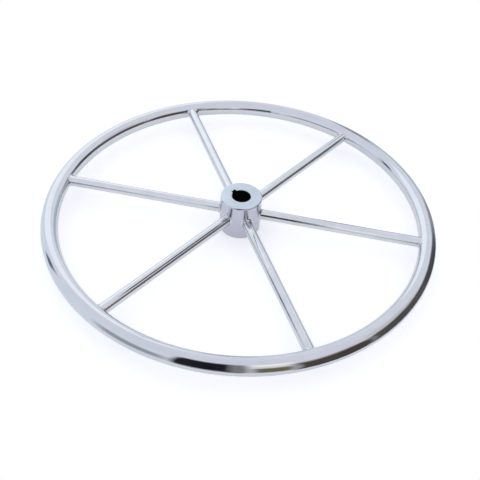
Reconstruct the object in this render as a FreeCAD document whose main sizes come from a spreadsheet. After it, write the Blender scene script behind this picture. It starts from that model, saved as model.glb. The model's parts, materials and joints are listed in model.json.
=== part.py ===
import FreeCAD, Part
import os
import Sketcher
from FreeCAD import Placement, Rotation, Vector

# Boat steering wheel of polished stainless steel: a flat six-spoke wheel.
# A round tube is rolled into the rim and closed with a butt weld. Six round bars enter
# drilled holes in the rim and blind sockets in a turned hub, and a fillet weld runs round
# each bar at both of its ends. The hub has a keyed bore for the steering shaft.
# The frame's origin is the centre of the hub, +Z runs along the bore towards the helmsman,
# and the first spoke lies along +X. Lengths are in millimetres and angles in degrees.

doc = FreeCAD.newDocument("boat_steering_wheel")

# Driving dimensions

SIZES = [
    ("overall_diameter", 600, "outside of the rim"),
    ("rim_tube_diameter", 25.4, "outside of the rim's tube"),
    ("rim_wall", 1.5, "wall of the rim's tube"),
    ("rim_seam_width", 3, "butt weld that closes the rim, along its centre line"),
    ("rim_seam_root", 0.6, "how far that weld stands into the tube"),
    ("spoke_count", 6, "spokes, evenly spaced"),
    ("spoke_diameter", 16, "round bar"),
    ("spoke_end_chamfer", 0.8, "both ends of a spoke"),
    ("spoke_end_reach", 0.6, "spoke end past the inside of the rim's wall"),
    ("spoke_clearance", 0.1, "all round a spoke in its socket and its hole"),
    ("hub_diameter", 63.5, "turned hub"),
    ("hub_length", 60, "from face to face"),
    ("hub_edge_radius", 2, "rounded outer edges of the hub"),
    ("socket_depth", 9, "blind spoke sockets in the hub"),
    ("bore_diameter", 28, "shaft bore"),
    ("bore_chamfer", 1, "both mouths of the bore"),
    ("keyway_width", 8, "keyway along the bore"),
    ("keyway_depth", 3.3, "keyway floor past the bore's wall"),
    ("rim_weld_radius", 4.5, "fillet weld between spoke and rim"),
    ("hub_weld_radius", 4, "fillet weld between spoke and hub"),
    ("weld_melt_in", 0.05, "how deep the edges of a weld melt into both pieces"),
]

sizes = doc.addObject("Spreadsheet::Sheet", "sizes")
for row, (name, value, meaning) in enumerate(SIZES, start=1):
    sizes.set(f"A{row}", name)
    sizes.set(f"B{row}", str(value))
    sizes.setAlias(f"B{row}", name)
    sizes.set(f"C{row}", meaning)
doc.recompute()

spoke_count = int(sizes.spoke_count)

# Expressions that the features share, worked out from the driving dimensions

TUBE_RADIUS = "sizes.rim_tube_diameter / 2"
RIM_RADIUS = "(sizes.overall_diameter - sizes.rim_tube_diameter) / 2"
RIM_CAVITY_RADIUS = "(sizes.rim_tube_diameter / 2 - sizes.rim_wall)"
SPOKE_RADIUS = "sizes.spoke_diameter / 2"
HOLE_RADIUS = "(sizes.spoke_diameter / 2 + sizes.spoke_clearance)"
HUB_RADIUS = "sizes.hub_diameter / 2"
BORE_RADIUS = "sizes.bore_diameter / 2"
SOCKET_FLOOR = "(sizes.hub_diameter / 2 - sizes.socket_depth)"
SPOKE_PITCH = "360 / sizes.spoke_count"

# The far end of a spoke stands a little past the edge of its hole, inside the tube.
SPOKE_TIP = (
    f"({RIM_RADIUS} - sqrt(pow({RIM_CAVITY_RADIUS}; 2) - pow({HOLE_RADIUS}; 2))"
    " + sizes.spoke_end_reach)"
)

# The seam and the keyway each lie halfway between two spokes.
SEAM_ANGLE = f"(1.5 * {SPOKE_PITCH})"
SEAM_SWEEP = f"(sizes.rim_seam_width / ({RIM_RADIUS}) * 180 / pi)"
KEYWAY_ANGLE = f"(2.5 * {SPOKE_PITCH})"

Y_AXIS = Vector(0, 1, 0)
Z_AXIS = Vector(0, 0, 1)


# Helpers for sketches and features

def new_body(label):
    body = doc.addObject("PartDesign::Body", label)
    body.Label = label
    return body


def origin_plane(body, role):
    return next(item for item in body.Origin.OriginFeatures if item.Role == role)


def new_sketch(body, name, role):
    """A sketch flat on one of the body's own origin planes."""
    sketch = body.newObject("Sketcher::SketchObject", name)
    sketch.AttachmentSupport = [(origin_plane(body, role), "")]
    sketch.MapMode = "FlatFace"
    return sketch


def turn_sketch(sketch, axis, angle):
    """Turn the sketch about one of its own axes."""
    sketch.AttachmentOffset = Placement(Vector(), Rotation(axis, 1))
    sketch.setExpression("AttachmentOffset.Rotation.Angle", angle)


def bind(sketch, index, name, expression):
    sketch.renameConstraint(index, name)
    sketch.setExpression(f"Constraints.{name}", expression)


def value_of(expression):
    """The number that an expression gives with the present sizes."""
    return float(sizes.evalExpression(expression))


def closed_profile(sketch, corners):
    """A closed outline of straight lines. Each corner is two expressions, x and y."""
    points = [Vector(value_of(x), value_of(y), 0) for x, y in corners]
    lines = []
    for start, end in zip(points, points[1:] + points[:1]):
        lines.append(sketch.addGeometry(Part.LineSegment(start, end), False))
    for line, following in zip(lines, lines[1:] + lines[:1]):
        sketch.addConstraint(Sketcher.Constraint("Coincident", line, 2, following, 1))
    for number, (line, (x, y)) in enumerate(zip(lines, corners), start=1):
        for kind, expression in (("DistanceX", x), ("DistanceY", y)):
            constraint = Sketcher.Constraint(kind, -1, 1, line, 1, value_of(expression))
            index = sketch.addConstraint(constraint)
            bind(sketch, index, f"corner_{number}_{kind[-1].lower()}", expression)


def centred_circle(sketch, name, radius, across=None):
    """A circle about the origin, or about a point across on the horizontal axis."""
    centre = Vector(value_of(across) if across else 0, 0, 0)
    circle = Part.Circle(centre, Z_AXIS, value_of(radius))
    edge = sketch.addGeometry(circle, False)
    if across:
        constraint = Sketcher.Constraint("DistanceX", -1, 1, edge, 3, value_of(across))
        bind(sketch, sketch.addConstraint(constraint), f"{name}_across", across)
        sketch.addConstraint(Sketcher.Constraint("PointOnObject", edge, 3, -1))
    else:
        sketch.addConstraint(Sketcher.Constraint("Coincident", edge, 3, -1, 1))
    constraint = Sketcher.Constraint("Radius", edge, value_of(radius))
    bind(sketch, sketch.addConstraint(constraint), f"{name}_radius", radius)


def revolve(body, kind, name, sketch, axis, angle="360"):
    """Revolve or groove a sketch about one of its own axes."""
    feature = body.newObject(f"PartDesign::{kind}", name)
    feature.Profile = sketch
    feature.ReferenceAxis = (sketch, [axis])
    feature.setExpression("Angle", angle)
    return feature


def repeat_round_axis(body, name, feature):
    """Repeat a feature once for each spoke, about Z."""
    pattern = body.newObject("PartDesign::PolarPattern", name)
    pattern.Originals = [feature]
    pattern.Axis = (origin_plane(body, "Z_Axis"), [""])
    pattern.Angle = 360
    pattern.setExpression("Occurrences", "sizes.spoke_count")
    body.Tip = pattern
    return pattern


def dress_edges(body, kind, name, feature, size_property, expression, chosen):
    """Round or bevel the edges of the feature that the test picks out."""
    doc.recompute()
    edges = [f"Edge{n}" for n, edge in enumerate(feature.Shape.Edges, start=1) if chosen(edge)]
    dressed = body.newObject(f"PartDesign::{kind}", name)
    dressed.Base = (feature, edges)
    dressed.setExpression(size_property, expression)
    return dressed


def is_circle(edge, radius):
    """Whether the edge is a whole circle of that radius."""
    round_edge = isinstance(edge.Curve, Part.Circle) and edge.isClosed()
    return round_edge and abs(edge.Curve.Radius - radius) < 1e-4


def spoke_bore(body, name, inner_end, outer_end):
    """The holes that the spokes enter, cut about each spoke's axis."""
    sketch = new_sketch(body, f"{name}_sketch", "XY_Plane")
    corners = [
        (inner_end, "0"),
        (outer_end, "0"),
        (outer_end, HOLE_RADIUS),
        (inner_end, HOLE_RADIUS),
    ]
    closed_profile(sketch, corners)
    bore = revolve(body, "Groove", name, sketch, "H_Axis")
    return repeat_round_axis(body, f"{name}_pattern", bore)


# Hub: turned from bar, bored, broached for a key and drilled for the spokes

def make_hub():
    body = new_body("hub")
    section = new_sketch(body, "hub_section", "XZ_Plane")
    half_length = "sizes.hub_length / 2"
    corners = [
        (BORE_RADIUS, f"-{half_length}"),
        (HUB_RADIUS, f"-{half_length}"),
        (HUB_RADIUS, half_length),
        (BORE_RADIUS, half_length),
    ]
    closed_profile(section, corners)
    turned = revolve(body, "Revolution", "hub_turned", section, "V_Axis")

    outer = value_of(HUB_RADIUS)
    rounded = dress_edges(
        body, "Fillet", "hub_rounded_edges", turned, "Radius", "sizes.hub_edge_radius",
        lambda edge: is_circle(edge, outer),
    )
    inner = value_of(BORE_RADIUS)
    bevelled = dress_edges(
        body, "Chamfer", "bore_mouths", rounded, "Size", "sizes.bore_chamfer",
        lambda edge: is_circle(edge, inner),
    )
    body.Tip = bevelled

    key_sketch = new_sketch(body, "keyway_sketch", "XY_Plane")
    turn_sketch(key_sketch, Z_AXIS, KEYWAY_ANGLE)
    floor = f"({BORE_RADIUS} + sizes.keyway_depth)"
    half_width = "sizes.keyway_width / 2"
    corners = [
        ("0", f"-{half_width}"),
        (floor, f"-{half_width}"),
        (floor, half_width),
        ("0", half_width),
    ]
    closed_profile(key_sketch, corners)
    keyway = body.newObject("PartDesign::Pocket", "keyway")
    keyway.Profile = key_sketch
    keyway.SideType = "Symmetric"
    keyway.Type = "Length"
    keyway.setExpression("Length", "sizes.hub_length * 2")
    body.Tip = keyway

    spoke_bore(body, "spoke_socket", SOCKET_FLOOR, f"({HUB_RADIUS} + sizes.socket_depth)")
    return body


# Rim: one tube rolled into a hoop, with a hole on its inner side for each spoke

def ring_section(body, name, start_angle, inner_radius):
    """The tube's section, on a plane that holds Z and is turned to the start angle."""
    sketch = new_sketch(body, name, "XZ_Plane")
    turn_sketch(sketch, Y_AXIS, start_angle)
    centred_circle(sketch, "tube", TUBE_RADIUS, across=RIM_RADIUS)
    centred_circle(sketch, "cavity", inner_radius, across=RIM_RADIUS)
    return sketch


def make_rim():
    body = new_body("rim")
    start = f"({SEAM_ANGLE} + {SEAM_SWEEP} / 2)"
    section = ring_section(body, "rim_section", start, RIM_CAVITY_RADIUS)
    revolve(body, "Revolution", "rim_hoop", section, "V_Axis", f"360 - {SEAM_SWEEP}")
    inner_end = f"({RIM_RADIUS} - sizes.rim_tube_diameter)"
    spoke_bore(body, "spoke_hole", inner_end, RIM_RADIUS)
    return body


def make_rim_seam_weld():
    """The butt weld between the tube's ends: flush outside, with a low bead inside."""
    body = new_body("rim_seam_weld")
    start = f"({SEAM_ANGLE} - {SEAM_SWEEP} / 2)"
    root_radius = f"({RIM_CAVITY_RADIUS} - sizes.rim_seam_root)"
    section = ring_section(body, "seam_section", start, root_radius)
    body.Tip = revolve(body, "Revolution", "seam_bead", section, "V_Axis", SEAM_SWEEP)
    return body


# Spokes: round bar, bevelled at both ends, from the socket's floor into the rim

def place_round_axis(item, number):
    """Turn a piece about Z to the place of the numbered spoke, counted from 1."""
    item.Placement = Placement(Vector(), Rotation(Z_AXIS, 1))
    item.setExpression("Placement.Rotation.Angle", f"{number - 1} * {SPOKE_PITCH}")


def make_spoke(number):
    body = new_body(f"spoke_{number}")
    section = new_sketch(body, f"spoke_{number}_section", "YZ_Plane")
    centred_circle(section, "bar", SPOKE_RADIUS)
    section.setExpression("AttachmentOffset.Base.z", SOCKET_FLOOR)
    bar = body.newObject("PartDesign::Pad", f"spoke_{number}_bar")
    bar.Profile = section
    bar.setExpression("Length", f"{SPOKE_TIP} - {SOCKET_FLOOR}")
    radius = value_of(SPOKE_RADIUS)
    body.Tip = dress_edges(
        body, "Chamfer", f"spoke_{number}_ends", bar, "Size", "sizes.spoke_end_chamfer",
        lambda edge: is_circle(edge, radius),
    )
    place_round_axis(body, number)
    return body


# Welds: the metal that a rolling ball leaves in the corner round a spoke.
# The ball rolls on skins that lie a hair below the real ones, so that the weld's edges
# run into the spoke and its carrier at a slight angle, as melted metal does.

def rod_along_x(name, start, end, sunk="0"):
    """A plain rod of the spoke's radius along X, between two expressions."""
    rod = doc.addObject("Part::Cylinder", name)
    rod.Placement = Placement(Vector(), Rotation(Y_AXIS, 90))
    rod.setExpression("Radius", f"{SPOKE_RADIUS} - {sunk}")
    rod.setExpression("Height", f"{end} - {start}")
    rod.setExpression("Placement.Base.x", start)
    return rod


def face_spoke(carrier):
    """Turn a carrier so that its own first edge lies halfway between two spokes."""
    carrier.Placement = Placement(Vector(), Rotation(Z_AXIS, 1))
    carrier.setExpression("Placement.Rotation.Angle", f"-{SPOKE_PITCH} / 2")


def hub_skin(name, sunk="0"):
    skin = doc.addObject("Part::Cylinder", name)
    face_spoke(skin)
    skin.setExpression("Radius", f"{HUB_RADIUS} - {sunk}")
    skin.setExpression("Height", "sizes.hub_length")
    skin.setExpression("Placement.Base.z", "-sizes.hub_length / 2")
    return skin


def rim_skin(name, sunk="0"):
    skin = doc.addObject("Part::Torus", name)
    face_spoke(skin)
    skin.setExpression("Radius1", RIM_RADIUS)
    skin.setExpression("Radius2", f"{TUBE_RADIUS} - {sunk}")
    skin.setExpression("Angle3", SPOKE_PITCH)
    return skin


def seam_edges(shape, carrier, rod):
    """The numbers of the edges where the rod's skin meets the carrier's skin."""
    found = []
    for number, edge in enumerate(shape.Edges, start=1):
        middle = Part.Vertex(edge.valueAt((edge.FirstParameter + edge.LastParameter) / 2))
        on_carrier = middle.distToShape(carrier.Shape.Faces[0])[0] < 1e-4
        on_rod = middle.distToShape(rod.Shape.Faces[0])[0] < 1e-4
        if on_carrier and on_rod:
            found.append(number)
    return found


def make_welds(name, skin, rod_ends, radius):
    """One fillet weld for each spoke, turned to its place from one bead along X."""
    carrier = skin(f"{name}_carrier")
    sunk_carrier = skin(f"{name}_sunk_carrier", "sizes.weld_melt_in")
    rod = rod_along_x(f"{name}_rod", *rod_ends)
    sunk_rod = rod_along_x(f"{name}_sunk_rod", *rod_ends, "sizes.weld_melt_in")

    joined = doc.addObject("Part::Fuse", f"{name}_joined")
    joined.Base = sunk_carrier
    joined.Tool = sunk_rod
    doc.recompute()
    rounded = doc.addObject("Part::Fillet", f"{name}_rounded")
    rounded.Base = joined
    seams = seam_edges(joined.Shape, sunk_carrier, sunk_rod)
    rounded.Edges = [(number, radius, radius) for number in seams]
    bead = doc.addObject("Part::Cut", f"{name}_bead")
    bead.Base = rounded
    bead.Tool = carrier

    welds = []
    for number in range(1, spoke_count + 1):
        weld = doc.addObject("Part::Cut", f"{name}_{number}")
        weld.Label = f"{name}_{number}"
        weld.Base = bead
        weld.Tool = rod
        place_round_axis(weld, number)
        welds.append(weld)
    return welds


def make_hub_welds():
    rod_end = f"({HUB_RADIUS} + 3 * sizes.hub_weld_radius)"
    return make_welds("hub_weld", hub_skin, (BORE_RADIUS, rod_end), sizes.hub_weld_radius)


def make_rim_welds():
    rod_start = f"({RIM_RADIUS} - {TUBE_RADIUS} - 3 * sizes.rim_weld_radius)"
    return make_welds("rim_weld", rim_skin, (rod_start, RIM_RADIUS), sizes.rim_weld_radius)


# The whole wheel, checked and written piece by piece

pieces = [make_hub(), make_rim(), make_rim_seam_weld()]
pieces += [make_spoke(number) for number in range(1, spoke_count + 1)]
pieces += make_hub_welds()
pieces += make_rim_welds()
doc.recompute()

for item in doc.Objects:
    if "Invalid" in item.State or "Error" in item.State:
        raise RuntimeError(f"{item.Label} could not be built: {item.State}")
for piece in pieces:
    shape = piece.Shape
    if shape.isNull() or not shape.isValid() or len(shape.Solids) != 1:
        raise RuntimeError(f"{piece.Label} is not one valid solid")

os.makedirs("parts", exist_ok=True)
for piece in pieces:
    piece.Shape.exportStep(f"parts/{piece.Label}.step")
    print(f"{piece.Label}: {piece.Shape.Volume:.1f} mm3, {len(piece.Shape.Faces)} faces")
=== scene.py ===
import bpy
import json
from math import cos, pi, radians, sin
from mathutils import Matrix, Vector


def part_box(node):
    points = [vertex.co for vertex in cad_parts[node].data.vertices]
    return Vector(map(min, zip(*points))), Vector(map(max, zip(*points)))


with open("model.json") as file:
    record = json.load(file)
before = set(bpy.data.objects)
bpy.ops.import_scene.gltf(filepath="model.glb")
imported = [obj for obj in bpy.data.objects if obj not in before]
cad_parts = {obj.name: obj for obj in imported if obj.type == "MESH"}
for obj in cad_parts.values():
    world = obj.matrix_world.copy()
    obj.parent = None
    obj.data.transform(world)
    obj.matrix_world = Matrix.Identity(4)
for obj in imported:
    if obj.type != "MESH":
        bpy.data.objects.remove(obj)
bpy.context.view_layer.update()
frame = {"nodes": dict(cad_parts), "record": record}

# Boat steering wheel of polished stainless steel, standing on its hub on a pale floor.
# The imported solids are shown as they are, and this script gives them their finish,
# the studio round them and the camera. Lengths are in metres, angles in degrees.

# Sizes that come from the frame

hub_low, hub_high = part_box("hub")
_, rim_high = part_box("rim")
FLOOR_HEIGHT = hub_low.z
TUBE_RADIUS = rim_high.z
RIM_RADIUS = rim_high.x - TUBE_RADIUS
SPOKE_COUNT = sum(name.startswith("spoke_") for name in frame["nodes"])

# The photograph's camera, found by fitting the rim, the spokes and the hub's faces to it

LENS_MM = 48.35
VIEW_AZIMUTH = 8.35
VIEW_ELEVATION = 44.41
VIEW_ROLL = 4.44
HUB_DEPTH = 3.4784 * RIM_RADIUS
HUB_RIGHT_OF_AXIS = 0.0022 * RIM_RADIUS
HUB_ABOVE_AXIS = 0.1592 * RIM_RADIUS


def direction(azimuth, elevation):
    """A unit vector. Azimuth 0 points to -Y and 90 to +X, as seen from above."""
    a, e = radians(azimuth), radians(elevation)
    return Vector((sin(a) * cos(e), -cos(a) * cos(e), sin(e)))


def seen_from_camera(azimuth, elevation):
    """The same, with azimuth 0 below the camera and positive to the picture's right."""
    return direction(azimuth + VIEW_AZIMUTH, elevation)


def place_camera():
    back = direction(VIEW_AZIMUTH, VIEW_ELEVATION)
    level_right = Vector((0, 0, 1)).cross(back).normalized()
    level_up = back.cross(level_right)
    turn = radians(VIEW_ROLL)
    right = level_right * cos(turn) + level_up * sin(turn)
    up = level_up * cos(turn) - level_right * sin(turn)
    data = bpy.data.cameras.new("camera")
    data.lens = LENS_MM
    camera = bpy.data.objects.new("camera", data)
    bpy.context.scene.collection.objects.link(camera)
    place = back * HUB_DEPTH - right * HUB_RIGHT_OF_AXIS - up * HUB_ABOVE_AXIS
    axes = Matrix((right, up, back)).transposed()
    camera.matrix_world = Matrix.Translation(place) @ axes.to_4x4()
    bpy.context.scene.camera = camera


# Node helpers

# The Mix node has sockets for every data type. These are the ones for its colours.
MIX_FACTOR = 0
MIX_COLOURS = (6, 7)
MIX_RESULT = 2


class Nodes:
    """Adds nodes to one tree and links them by value."""

    def __init__(self, tree):
        self.tree = tree
        tree.nodes.clear()

    def add(self, kind, settings=None, inputs=None):
        node = self.tree.nodes.new(kind)
        for name, value in (settings or {}).items():
            setattr(node, name, value)
        for name, value in (inputs or {}).items():
            self.feed(node.inputs[name], value)
        return node

    def feed(self, socket, value):
        if isinstance(value, bpy.types.NodeSocket):
            self.tree.links.new(value, socket)
        else:
            socket.default_value = value

    def math(self, operation, *values):
        node = self.add("ShaderNodeMath", {"operation": operation})
        for socket, value in zip(node.inputs, values):
            self.feed(socket, value)
        return node.outputs[0]

    def vector(self, x, y, z):
        return self.add("ShaderNodeCombineXYZ", None, {"X": x, "Y": y, "Z": z}).outputs[0]

    def noise(self, place, detail=2.0, roughness=0.5, w=None, scale=1.0):
        settings = {"noise_dimensions": "3D" if w is None else "4D"}
        inputs = {"Vector": place, "Scale": scale, "Detail": detail, "Roughness": roughness}
        if w is not None:
            inputs["W"] = w
        return self.add("ShaderNodeTexNoise", settings, inputs).outputs["Fac"]

    def spread(self, value, low, high, to_low, to_high):
        """The value, carried from one range to another and held inside the second."""
        names = ("Value", "From Min", "From Max", "To Min", "To Max")
        inputs = dict(zip(names, (value, low, high, to_low, to_high)))
        return self.add("ShaderNodeMapRange", {"clamp": True}, inputs).outputs[0]

    def mix(self, factor, *colours):
        node = self.add("ShaderNodeMix", {"data_type": "RGBA"})
        self.feed(node.inputs[MIX_FACTOR], factor)
        for index, colour in zip(MIX_COLOURS, colours):
            opaque = (*colour, 1.0) if isinstance(colour, tuple) else colour
            self.feed(node.inputs[index], opaque)
        return node.outputs[MIX_RESULT]


def new_material(name):
    material = bpy.data.materials.new(name)
    material.use_nodes = True
    return material, Nodes(material.node_tree)


# Steel

# Polishing lines: spacing, length, detail in the noise, depth, and how strongly they show
POLISH_LINE = 0.00035
POLISH_LINE_LENGTH = 0.02
POLISH_LINE_DETAIL = 3.0
POLISH_LINE_DEPTH = 0.000006
POLISH_LINE_STRENGTH = 0.35

# Long waves in the form, which bend what the steel mirrors
WAVE_LENGTH = 0.06
WAVE_DEPTH = 0.00025

# Smudges: their size on each kind of piece, the noise values between which they lie, and
# their share in the roughness, next to that of the polishing lines
RIM_SMUDGE = 0.025
SPOKE_SMUDGE = 0.018
HUB_SMUDGE = 0.012
WELD_SMUDGE = 0.006
NOISE_RANGE = (0.35, 0.65)
SMUDGE_SHARE = 0.6
POLISH_SHARE = 0.4

# Weld metal's ripples and its fine grain
WELD_RIPPLE = 0.004
WELD_GRAIN = 0.0008

# The hub's bore, bevels and keyway lie inside BORE_EDGE, and its flat faces outside it.
# Its wall's painted reflection tint and its rougher finish are full at WALL_FADE's first
# depth below a face and gone at its second.
# The wall and the bore are rougher than the faces by so much.
# Inside BORE_EDGE the bore is coloured near-black: painted shade in the hole.
BORE_EDGE = 0.0182
BORE_FADE = 0.0006
WALL_FADE = (0.0012, 0.0004)
HUB_ROUGHNESS = (0.10, 0.17)
WALL_ROUGHER = 0.06
BORE_ROUGHER = 0.25

# A turn round the hub is a circle of this radius in the noise's cells. It is small, so the
# hub's lines hardly change along it.
HUB_LINE_CIRCLE = 0.5


def object_place(nodes):
    return nodes.add("ShaderNodeTexCoord").outputs["Object"]


def from_axis(nodes):
    """Distance from the Z axis, and the place's coordinates."""
    parts = nodes.add("ShaderNodeSeparateXYZ", None, {0: object_place(nodes)}).outputs
    flat = nodes.vector(parts["X"], parts["Y"], 0.0)
    length = nodes.add("ShaderNodeVectorMath", {"operation": "LENGTH"}, {0: flat})
    return length.outputs["Value"], parts


def along_spoke(nodes):
    """Place in the nearest spoke's own frame: along it, across it and up, and its number."""
    radius, parts = from_axis(nodes)
    angle = nodes.math("ARCTAN2", parts["Y"], parts["X"])
    pitch = 2 * pi / SPOKE_COUNT
    number = nodes.math("ROUND", nodes.math("DIVIDE", angle, pitch))
    left_over = nodes.math("SUBTRACT", angle, nodes.math("MULTIPLY", number, pitch))
    along = nodes.math("MULTIPLY", radius, nodes.math("COSINE", left_over))
    across = nodes.math("MULTIPLY", radius, nodes.math("SINE", left_over))
    return along, across, parts["Z"], number


def lines_round_axis(nodes, circle):
    """Fine lines that run round Z. A turn is a circle of this radius in the noise's cells."""
    radius, parts = from_axis(nodes)
    cosine = nodes.math("DIVIDE", parts["X"], radius)
    sine = nodes.math("DIVIDE", parts["Y"], radius)
    fine = 1 / POLISH_LINE
    place = nodes.vector(
        nodes.math("MULTIPLY", cosine, circle),
        nodes.math("MULTIPLY", sine, circle),
        nodes.math("MULTIPLY", radius, fine),
    )
    height = nodes.math("MULTIPLY", parts["Z"], fine)
    return nodes.noise(place, detail=POLISH_LINE_DETAIL, w=height)


def long_waves(nodes):
    return nodes.noise(object_place(nodes), detail=1.0, scale=1 / WAVE_LENGTH)


def smudges(nodes, size):
    return nodes.noise(object_place(nodes), detail=4.0, roughness=0.6, scale=1 / size)


def bare_steel(nodes, base, rough, wave, polish):
    """The shader of every steel here, with its waves and polishing lines as relief."""
    waves = nodes.add(
        "ShaderNodeBump", None, {"Strength": 1.0, "Distance": WAVE_DEPTH, "Height": wave}
    )
    lines = nodes.add(
        "ShaderNodeBump",
        None,
        {
            "Strength": POLISH_LINE_STRENGTH,
            "Distance": POLISH_LINE_DEPTH,
            "Height": polish,
            "Normal": waves.outputs[0],
        },
    )
    steel = nodes.add(
        "ShaderNodeBsdfPrincipled",
        None,
        {"Base Color": base, "Metallic": 1.0, "Roughness": rough, "Normal": lines.outputs[0]},
    )
    nodes.add("ShaderNodeOutputMaterial", None, {"Surface": steel.outputs[0]})


def finish_steel(nodes, colours, roughness, polish, wave, smudge):
    """Steel from three noises: polishing lines, long waves in the form, and smudges."""
    base = nodes.mix(nodes.spread(smudge, *NOISE_RANGE, 0.0, 1.0), *colours)
    polish_part = nodes.math("MULTIPLY", polish, POLISH_SHARE)
    worn = nodes.math("MULTIPLY_ADD", smudge, SMUDGE_SHARE, polish_part)
    rough = nodes.spread(worn, *NOISE_RANGE, *roughness)
    bare_steel(nodes, base, rough, wave, polish)


def rim_steel(name, colours, roughness):
    """Tube rolled into a hoop and polished to a mirror round the hoop."""
    material, nodes = new_material(name)
    polish = lines_round_axis(nodes, RIM_RADIUS / POLISH_LINE_LENGTH)
    smudge = smudges(nodes, RIM_SMUDGE)
    finish_steel(nodes, colours, roughness, polish, long_waves(nodes), smudge)
    return material


def spoke_steel(name, colours, roughness):
    """Bar polished along its length."""
    material, nodes = new_material(name)
    along, across, height, number = along_spoke(nodes)
    fine = 1 / POLISH_LINE
    place = nodes.vector(
        nodes.math("MULTIPLY", along, 1 / POLISH_LINE_LENGTH),
        nodes.math("MULTIPLY", across, fine),
        nodes.math("MULTIPLY", height, fine),
    )
    polish = nodes.noise(place, detail=POLISH_LINE_DETAIL, w=number)
    smudge = smudges(nodes, SPOKE_SMUDGE)
    finish_steel(nodes, colours, roughness, polish, long_waves(nodes), smudge)
    return material


def hub_steel(name, face_colours, wall_painted_reflection, bore_painted_shade):
    """Turned bar: bright faces, a softer wall tinted lavender-grey as a painted reflection,
    and a bore painted near-black as painted shade.
    """
    material, nodes = new_material(name)
    smudge = smudges(nodes, HUB_SMUDGE)
    radius, parts = from_axis(nodes)
    upright = nodes.math("ABSOLUTE", parts["Z"])
    fade_start, fade_end = (hub_high.z - depth for depth in WALL_FADE)
    wall = nodes.spread(upright, fade_start, fade_end, 1.0, 0.0)
    bore = nodes.spread(radius, BORE_EDGE, BORE_EDGE + BORE_FADE, 1.0, 0.0)
    inside = nodes.math("MULTIPLY", bore, wall)
    colour = nodes.mix(nodes.spread(smudge, *NOISE_RANGE, 0.0, 1.0), *face_colours)
    # Painted reflection: the wall gets a lavender-grey tint in place of the faces' steel
    # colour.
    colour = nodes.mix(wall, colour, wall_painted_reflection)
    # Painted shade: the bore's inner wall is coloured near-black.
    colour = nodes.mix(inside, colour, bore_painted_shade)
    rough = nodes.spread(smudge, *NOISE_RANGE, *HUB_ROUGHNESS)
    rough = nodes.math("MULTIPLY_ADD", wall, WALL_ROUGHER, rough)
    rough = nodes.math("MULTIPLY_ADD", inside, BORE_ROUGHER, rough)
    polish = lines_round_axis(nodes, HUB_LINE_CIRCLE)
    bare_steel(nodes, colour, rough, long_waves(nodes), polish)
    return material


def weld_steel(name, colours, roughness):
    """Weld metal, ground and polished by hand: soft ripples and small flats."""
    material, nodes = new_material(name)
    ripple = nodes.noise(object_place(nodes), detail=2.0, scale=1 / WELD_RIPPLE)
    grain = nodes.noise(object_place(nodes), detail=3.0, scale=1 / WELD_GRAIN)
    finish_steel(nodes, colours, roughness, grain, ripple, smudges(nodes, WELD_SMUDGE))
    return material


def dress_nodes():
    slots = {
        "rim_steel": rim_steel(
            "rim_steel", ((0.66, 0.68, 0.71), (0.70, 0.71, 0.74)), (0.05, 0.12)
        ),
        "spoke_steel": spoke_steel(
            "spoke_steel", ((0.68, 0.70, 0.72), (0.74, 0.75, 0.77)), (0.10, 0.18)
        ),
        "hub_steel": hub_steel(
            "hub_steel",
            ((0.60, 0.67, 0.73), (0.66, 0.71, 0.77)),
            # The wall's colour is a painted reflection tint, not the steel's own.
            (0.62, 0.62, 0.71),
            # The bore's near-black colour is painted shade.
            (0.035, 0.038, 0.042),
        ),
        "weld_steel": weld_steel(
            "weld_steel", ((0.60, 0.62, 0.66), (0.70, 0.71, 0.73)), (0.10, 0.22)
        ),
    }
    for part in frame["record"]["subparts"]:
        node = frame["nodes"][part["node"]]
        for place in node.material_slots:
            place.material = slots[part["material_slot"]]


# Room and floor

ROOM_COLOUR = (0.84, 0.91, 0.99)
# Each tint's azimuth and elevation, the cosines from it where it starts and is full, how
# much of it there is, and its colour
ROOM_TINTS = (
    ((90, 0), (-0.6, 0.8), 1.0, (0.88, 0.86, 0.89)),
    ((180, 30), (0.3, 0.95), 1.0, (0.87, 0.93, 1.0)),
    ((0, 90), (0.5, 1.0), 0.8, (0.84, 0.83, 0.95)),
)


def paint_world():
    """White for the camera, and a pale room with a little colour for the steel to mirror."""
    world = bpy.data.worlds.new("studio")
    world.use_nodes = True
    bpy.context.scene.world = world
    nodes = Nodes(world.node_tree)
    way = nodes.add("ShaderNodeTexCoord").outputs["Generated"]
    room = ROOM_COLOUR
    for toward, (start, full), most, colour in ROOM_TINTS:
        pair = {0: way, 1: tuple(seen_from_camera(*toward))}
        cosine = nodes.add("ShaderNodeVectorMath", {"operation": "DOT_PRODUCT"}, pair)
        share = nodes.spread(cosine.outputs["Value"], start, full, 0.0, most)
        room = nodes.mix(share, room, colour)
    seen = nodes.add("ShaderNodeLightPath").outputs["Is Camera Ray"]
    colour = nodes.mix(seen, room, (1.0, 1.0, 1.0))
    light = nodes.add("ShaderNodeBackground", None, {"Color": colour, "Strength": 1.0})
    nodes.add("ShaderNodeOutputWorld", None, {"Surface": light.outputs[0]})


FLOOR_RADIUS = 1.2 * RIM_RADIUS
FLOOR_SIDES = 128
FLOOR_COLOUR = (0.80, 0.80, 0.81, 1.0)
FLOOR_GLOW = 0.40
FLOOR_GLOW_IN_STEEL = 0.6


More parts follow.
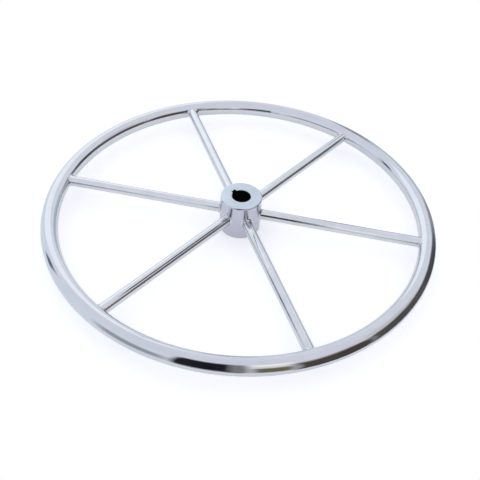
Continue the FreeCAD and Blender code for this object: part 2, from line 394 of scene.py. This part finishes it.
def lay_floor():
    """A round white sheet. To the camera and the steel it glows enough to be white."""
    turns = [2 * pi * i / FLOOR_SIDES for i in range(FLOOR_SIDES)]
    corners = [(FLOOR_RADIUS * cos(a), FLOOR_RADIUS * sin(a), FLOOR_HEIGHT) for a in turns]
    mesh = bpy.data.meshes.new("floor")
    mesh.from_pydata(corners, [], [tuple(range(FLOOR_SIDES))])
    floor = bpy.data.objects.new("floor", mesh)
    bpy.context.scene.collection.objects.link(floor)
    material, nodes = new_material("floor_paper")
    paper = nodes.add("ShaderNodeBsdfDiffuse", None, {"Color": FLOOR_COLOUR})
    path = nodes.add("ShaderNodeLightPath").outputs
    seen = nodes.math(
        "MULTIPLY_ADD", path["Is Glossy Ray"], FLOOR_GLOW_IN_STEEL, path["Is Camera Ray"]
    )
    strength = nodes.math("MULTIPLY", seen, FLOOR_GLOW)
    glow = nodes.add("ShaderNodeEmission", None, {"Strength": strength})
    both = nodes.add("ShaderNodeAddShader", None, {0: paper.outputs[0], 1: glow.outputs[0]})
    nodes.add("ShaderNodeOutputMaterial", None, {"Surface": both.outputs[0]})
    mesh.materials.append(material)


# Panels that give the steel something to mirror

ROOM_RADIUS = 8 * RIM_RADIUS
STAND_RADIUS = 1.9 * RIM_RADIUS
BEHIND_STAND_RADIUS = 1.95 * RIM_RADIUS
CARD_STEPS = 24
CARD_ROWS = 12
PANEL_MAP = "card"

# Azimuths from and to, elevations from and to, colour, how far each pair's edges fade
# inwards, and the distance from the wheel's middle where it isn't the room's
CARDS = {
    "dark_stand": ((-21, 2), (-16, 42), (0.010, 0.010, 0.016), (3, 10), STAND_RADIUS),
    "stand_side": ((-3, 9), (-16, 42), (0.25, 0.25, 0.25), (4, 10), BEHIND_STAND_RADIUS),
    "far_stand": ((-20, -1), (-20, 46), (0.55, 0.55, 0.60), (7, 16)),
    "grey_low_wall": ((-66, -22), (-26, 26), (0.37, 0.39, 0.43), (10, 18)),
    "stand_foot": ((-2, 8), (-28, 3), (0.06, 0.06, 0.055), (3, 8)),
    "olive_patch": ((8, 32), (-26, 30), (0.175, 0.155, 0.085), (6, 12)),
    "brown_bench": ((28, 70), (-44, 46), (0.085, 0.070, 0.063), (5, 18)),
    "brown_leg_1": ((32, 44), (-20, 30), (0.02, 0.017, 0.015), (2, 10)),
    "brown_leg_2": ((48, 64), (-24, 34), (0.02, 0.017, 0.015), (4, 12)),
    "post_shade": ((72, 118), (24, 58), (0.70, 0.70, 0.71), (12, 12)),
    "brown_post": ((64, 106), (-44, 38), (0.11, 0.105, 0.105), (6, 16)),
    "brown_leg_3": ((70, 96), (-26, 34), (0.02, 0.018, 0.018), (4, 8)),
    "grey_bench": ((96, 131), (-36, 34), (0.08, 0.08, 0.09), (6, 10)),
    "grey_rail": ((119, 142), (-28, 30), (0.34, 0.36, 0.41), (6, 12)),
    "grey_box": ((131, 143), (-36, 4), (0.34, 0.36, 0.42), (3, 8)),
    "blue_wall": ((138, 170), (-26, 26), (0.50, 0.60, 0.70), (6, 12)),
    "left_door": ((-106, -95), (-4, 28), (0.14, 0.16, 0.26), (3, 8)),
    "side_panel": ((145, 159), (-6, 30), (0.34, 0.34, 0.37), (5, 8), STAND_RADIUS),
    "warm_glint": ((8, 27), (22, 42), (1.28, 1.20, 1.04), (4, 8), BEHIND_STAND_RADIUS),
}

# A strip close above spoke 5, for the dark line along it. Each end is given by how far out
# along the spoke it is mirrored, as a share of the rim's radius, and in which direction.
SPOKE_5_AZIMUTH = -30
STRIP_ENDS = ((0.14, 108, 49), (0.86, 85, 61))
STRIP_ROWS = 4
STRIP_DISTANCE = 0.22 * RIM_RADIUS
STRIP_HALF_WIDTH = 0.055 * RIM_RADIUS
STRIP_COLOUR = (0.03, 0.03, 0.035)
STRIP_FADES = (0.35, 0.1)


def fading_glow(name, colour, fades):
    """Light of one colour that fades out over these shares of the panel at its edges."""
    material, nodes = new_material(name)
    spot = nodes.add("ShaderNodeUVMap", {"uv_map": PANEL_MAP}).outputs[0]
    parts = nodes.add("ShaderNodeSeparateXYZ", None, {0: spot}).outputs
    edges = []
    for axis, fade in zip("XY", fades):
        inward = nodes.math("MINIMUM", parts[axis], nodes.math("SUBTRACT", 1.0, parts[axis]))
        edges.append(nodes.spread(inward, 0.0, fade, 0.0, 1.0))
    there = nodes.math("MULTIPLY", *edges)
    glow = nodes.add("ShaderNodeEmission", None, {"Color": (*colour, 1.0), "Strength": 1.0})
    clear = nodes.add("ShaderNodeBsdfTransparent")
    both = nodes.add(
        "ShaderNodeMixShader", None, {0: there, 1: clear.outputs[0], 2: glow.outputs[0]}
    )
    nodes.add("ShaderNodeOutputMaterial", None, {"Surface": both.outputs[0]})
    return material


def hang_panel(name, grid, colour, fades):
    """A panel through rows of points that only the steel mirrors."""
    rows = len(grid) - 1
    wide = len(grid[0])
    steps = wide - 1
    faces = []
    for j in range(rows):
        for i in range(steps):
            first = j * wide + i
            faces.append((first, first + 1, first + 1 + wide, first + wide))
    mesh = bpy.data.meshes.new(name)
    mesh.from_pydata([point for row in grid for point in row], [], faces)
    corner_place = mesh.uv_layers.new(name=PANEL_MAP).data
    for loop in mesh.loops:
        j, i = divmod(loop.vertex_index, wide)
        corner_place[loop.index].uv = (i / steps, j / rows)
    card = bpy.data.objects.new(name, mesh)
    bpy.context.scene.collection.objects.link(card)
    card.visible_camera = False
    card.visible_diffuse = False
    card.visible_shadow = False
    card.visible_transmission = False
    card.visible_volume_scatter = False
    mesh.materials.append(fading_glow(name, colour, fades))


def hang_card(name, azimuths, elevations, colour, soft, away=ROOM_RADIUS):
    """A panel on a sphere round the wheel."""
    grid = []
    for j in range(CARD_ROWS + 1):
        elevation = elevations[0] + (elevations[1] - elevations[0]) * j / CARD_ROWS
        row = []
        for i in range(CARD_STEPS + 1):
            azimuth = azimuths[0] + (azimuths[1] - azimuths[0]) * i / CARD_STEPS
            row.append(seen_from_camera(azimuth, elevation) * away)
        grid.append(row)
    spans = (azimuths, elevations)
    fades = [fade / (high - low) for fade, (low, high) in zip(soft, spans)]
    hang_panel(name, grid, colour, fades)


def hang_strip(name):
    """A flat panel along a spoke, square to the way that the spoke's middle mirrors."""
    bar = direction(SPOKE_5_AZIMUTH, 0)
    ways = [seen_from_camera(azimuth, elevation) for _, azimuth, elevation in STRIP_ENDS]
    outward = [bar * reach * RIM_RADIUS for reach, _, _ in STRIP_ENDS]
    ends = [place + way * STRIP_DISTANCE for place, way in zip(outward, ways)]
    grid = []
    for j in range(STRIP_ROWS + 1):
        share = j / STRIP_ROWS
        middle = ends[0].lerp(ends[1], share)
        way = ways[0].lerp(ways[1], share)
        side = bar.cross(way).normalized() * STRIP_HALF_WIDTH
        grid.append([middle - side, middle + side])
    hang_panel(name, grid, STRIP_COLOUR, STRIP_FADES)


def hang_panels():
    """What the dark and coloured streaks on the steel mirror, where they place it."""
    for name, card in CARDS.items():
        hang_card(name, *card)
    hang_strip("spoke_shade")


# One broad, soft lamp from behind on the left

LAMP_AZIMUTH = -150
LAMP_ELEVATION = 30
LAMP_DISTANCE = 2.5
LAMP_SIZE = 2.2
LAMP_POWER = 3.0


def hang_lamp():
    data = bpy.data.lights.new("window", "AREA")
    data.shape = "DISK"
    data.size = LAMP_SIZE
    data.energy = LAMP_POWER
    lamp = bpy.data.objects.new("window", data)
    bpy.context.scene.collection.objects.link(lamp)
    way = seen_from_camera(LAMP_AZIMUTH, LAMP_ELEVATION)
    lamp.location = way * LAMP_DISTANCE
    lamp.rotation_euler = way.to_track_quat("Z", "Y").to_euler()


bpy.context.scene.view_settings.view_transform = "Standard"
place_camera()
dress_nodes()
paint_world()
lay_floor()
hang_panels()
hang_lamp()
